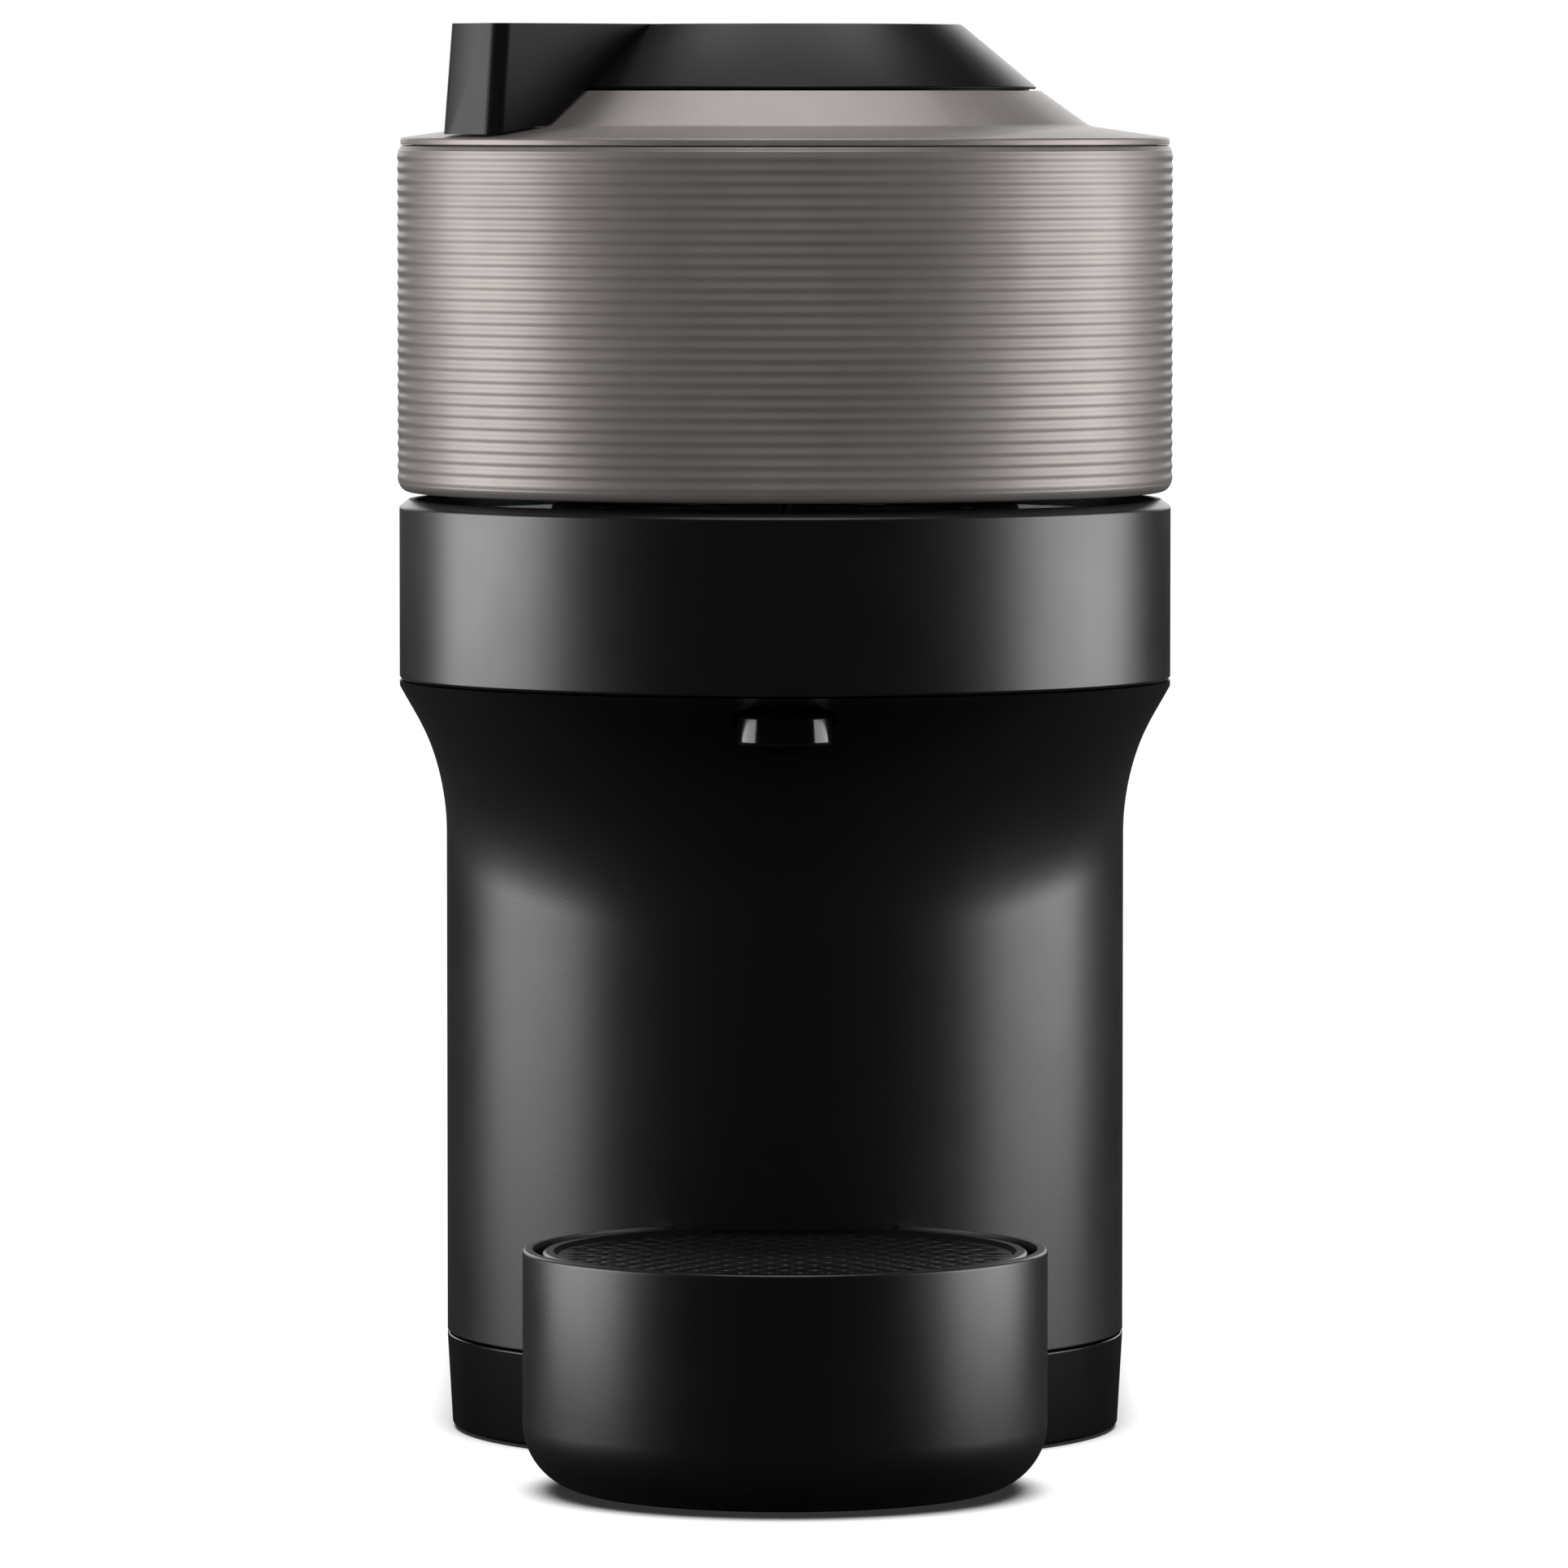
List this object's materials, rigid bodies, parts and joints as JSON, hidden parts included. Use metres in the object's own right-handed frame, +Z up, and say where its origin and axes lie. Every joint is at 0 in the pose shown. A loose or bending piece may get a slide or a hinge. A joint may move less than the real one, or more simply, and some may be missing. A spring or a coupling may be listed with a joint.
{
  "type": "pod coffee machine",
  "caption": "Pod coffee machine: hinged ribbed drum head with a turning lock lever on a slim body, spout over a round drip tray, capsule bin and rear water tank.",
  "frame": {"origin": "on the resting surface, under the middle of the machine's width and depth", "axes": "+Z up, -Y towards the user (drip tray side), +X to the right seen from the front; +Y is the long axis"},
  "size_m": [0.136, 0.426, 0.2512],
  "materials": {
    "titanium": "satin metallic lacquer on ribbed ABS",
    "satin_black": "fine-textured satin black ABS",
    "lever_black": "smooth satin black ABS",
    "gloss_black": "polished black",
    "rubber": "moulded black rubber",
    "steel": "turned stainless steel",
    "grey_plastic": "glass-filled nylon",
    "natural_plastic": "natural acetal",
    "smoked_clear": "smoked clear copolyester",
    "board": "solder-masked circuit board",
    "lamp": "opal light guide"
  },
  "bodies": {
    "machine": {"base_foot": "satin_black", "base_screw_1": "steel", "base_screw_2": "steel", "base_screw_3": "steel", "base_screw_4": "steel", "bin_shelf": "grey_plastic", "body_shell": "satin_black", "chamber_deck": "satin_black", "chamber_seal": "rubber", "chassis_plate": "grey_plastic", "coffee_gutter": "grey_plastic", "control_board": "board", "cord_gland": "rubber", "cup_bearing": "steel", "drive_belt": "rubber", "feed_hose": "natural_plastic", "flow_meter": "natural_plastic", "foot_front_left": "rubber", "foot_front_right": "rubber", "foot_rear_left": "rubber", "foot_rear_right": "rubber", "heater_block": "steel", "heater_stand": "grey_plastic", "hinge_bracket": "satin_black", "hinge_pin": "steel", "hinge_screw_left": "steel", "hinge_screw_right": "steel", "lower_head_ring": "satin_black", "panel_screw_1": "steel", "panel_screw_2": "steel", "pump": "grey_plastic", "pump_cradle": "rubber", "rear_panel": "satin_black", "spin_motor": "steel", "spout": "gloss_black", "suction_hose": "natural_plastic", "top_deck": "satin_black", "valve_seat": "rubber"},
    "head": {"ribbed_shell": "titanium", "top_cover": "titanium", "head_underplate": "satin_black", "plate_bearing": "steel", "bearing_carrier": "grey_plastic"},
    "lever": {"lever_turret": "lever_black", "light_ring": "lamp", "lever_shaft": "grey_plastic", "lock_ring": "grey_plastic"},
    "button": {"brew_button": "gloss_black"},
    "cup": {"capsule_cup": "grey_plastic"},
    "pulley": {"motor_pulley": "grey_plastic"},
    "piercer": {"piercing_plate": "steel"},
    "tank": {"water_tank": "smoked_clear", "tank_valve": "natural_plastic"},
    "lid": {"tank_lid": "satin_black"},
    "bin": {"capsule_bin": "satin_black", "bin_hood": "satin_black"},
    "tray": {"drip_tray": "satin_black"},
    "grid": {"drip_grid": "satin_black"}
  },
  "joints": [
    {"name": "head_hinge", "type": "hinge", "parent": "machine", "child": "head", "pos_m": [0, -0.036, 0.175], "axis": [-1, 0, 0], "range_deg": [0, 50]},
    {"name": "lever_turn", "type": "hinge", "parent": "head", "child": "lever", "pos_m": [0, -0.112, 0.245], "axis": [0, 0, 1], "range_deg": [0, 65]},
    {"name": "brew_press", "type": "slide", "parent": "lever", "child": "button", "axis": [0, 0, -1], "range_m": [0, 0.0012], "stiffness_N_per_m": 300, "springref_m": -0.001},
    {"name": "cup_spin", "type": "hinge", "parent": "machine", "child": "cup", "pos_m": [0, -0.112, 0.15], "axis": [0, 0, 1], "continuous": true},
    {"name": "pulley_spin", "type": "hinge", "parent": "machine", "child": "pulley", "pos_m": [0, -0.064, 0.15], "axis": [0, 0, 1], "continuous": true},
    {"name": "plate_spin", "type": "hinge", "parent": "head", "child": "piercer", "pos_m": [0, -0.112, 0.17], "axis": [0, 0, 1], "continuous": true},
    {"name": "tank_lift", "type": "slide", "parent": "machine", "child": "tank", "axis": [0, 0, 1], "range_m": [0, 0.06]},
    {"name": "lid_hinge", "type": "hinge", "parent": "tank", "child": "lid", "pos_m": [0, 0.1345, 0.1705], "axis": [1, 0, 0], "range_deg": [0, 95]},
    {"name": "bin_lift", "type": "slide", "parent": "machine", "child": "bin", "axis": [0, 0, 1], "range_m": [0, 0.09]},
    {"name": "tray_pull", "type": "slide", "parent": "machine", "child": "tray", "axis": [0, -1, 0], "range_m": [0, 0.07]},
    {"name": "grid_lift", "type": "slide", "parent": "tray", "child": "grid", "axis": [0, 0, 1], "range_m": [0, 0.025]}
  ],
  "couplings": [
    {"joint": "pulley_spin", "follows": "cup_spin", "ratio": 3.8889},
    {"joint": "plate_spin", "follows": "cup_spin", "ratio": 1}
  ]
}
